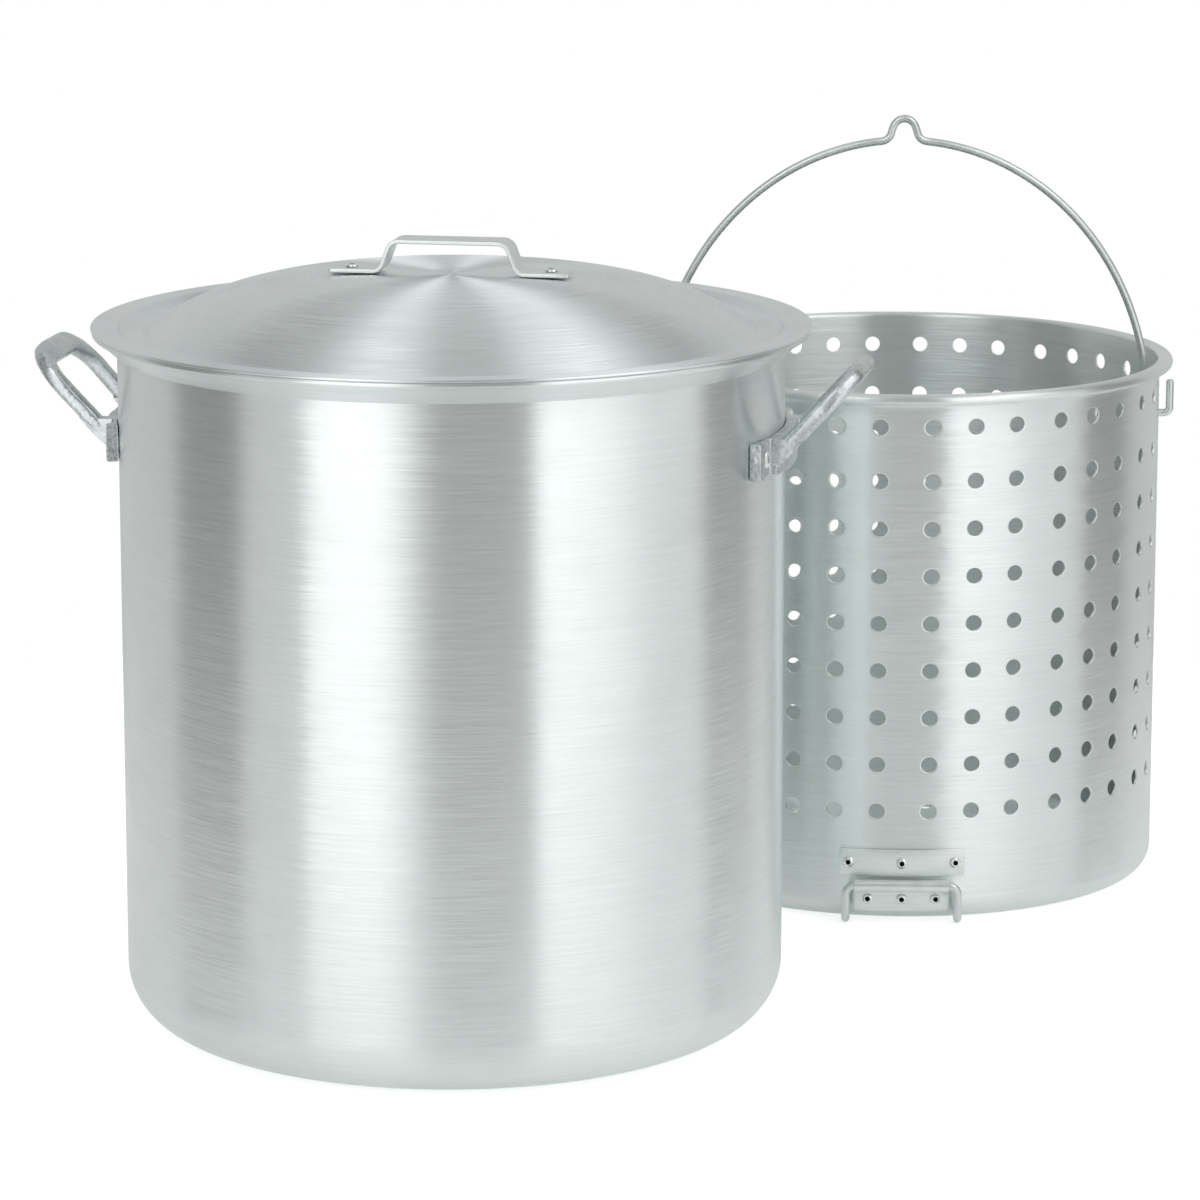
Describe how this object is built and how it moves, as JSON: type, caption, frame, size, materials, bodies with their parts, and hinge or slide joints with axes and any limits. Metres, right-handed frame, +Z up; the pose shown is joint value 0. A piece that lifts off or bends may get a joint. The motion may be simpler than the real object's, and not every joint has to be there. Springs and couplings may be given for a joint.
{
  "type": "brew kettle",
  "caption": "Large aluminium brew kettle with flared rim, cast loop handles and a domed lid, with its perforated strainer basket, lifting bail and swing-out drain hook.",
  "frame": {"origin": "centre of the kettle's base, on the surface it stands on", "axes": "+Z up; +X from the kettle's axis through the middle of its right side handle; +Y towards the basket's side, so the basket stands at the back right"},
  "size_m": [0.8107, 1.0103, 0.6281],
  "materials": {
    "kettle_aluminium": "brushed round the wall",
    "lid_aluminium": "spun satin",
    "basket_aluminium": "brushed round the wall",
    "cast_handle": "rough as-cast and tumbled",
    "bright_plate": "satin sheet",
    "bright_wire": "drawn, satin",
    "rivet": "satin"
  },
  "bodies": {
    "kettle": {"kettle_shell": "kettle_aluminium", "side_handle_right": "cast_handle", "side_handle_left": "cast_handle", "handle_rivet_right_front": "rivet", "handle_rivet_right_back": "rivet", "handle_rivet_left_front": "rivet", "handle_rivet_left_back": "rivet"},
    "lid": {"lid_shell": "lid_aluminium", "lid_strap_handle": "bright_plate", "lid_rivet_left": "rivet", "lid_rivet_right": "rivet"},
    "basket": {"basket_shell": "basket_aluminium", "hook_stop_plate": "bright_plate", "hook_hinge_plate": "bright_plate", "stop_plate_rivet_1": "rivet", "stop_plate_rivet_2": "rivet", "stop_plate_rivet_3": "rivet", "hinge_plate_rivet_1": "rivet", "hinge_plate_rivet_2": "rivet", "hinge_plate_rivet_3": "rivet"},
    "bail": {"bail_wire": "bright_wire"},
    "drain_hook": {"drain_hook_wire": "bright_wire"}
  },
  "joints": [
    {"name": "lid_lift", "type": "slide", "parent": "kettle", "child": "lid", "axis": [0, 0, 1], "range_m": [0, 0.3]},
    {"name": "basket_lift", "type": "slide", "parent": "kettle", "child": "basket", "axis": [0, 0, 1], "range_m": [0, 0.5]},
    {"name": "bail_swing", "type": "hinge", "parent": "basket", "child": "bail", "pos_m": [0.274, 0.52, 0.381], "axis": [0.9903, 0.1392, 0], "range_deg": [-70, 70]},
    {"name": "hook_swing", "type": "hinge", "parent": "basket", "child": "drain_hook", "pos_m": [0.3047, 0.30155, 0.0315], "axis": [-0.9903, -0.1392, 0], "range_deg": [0, 190]}
  ]
}
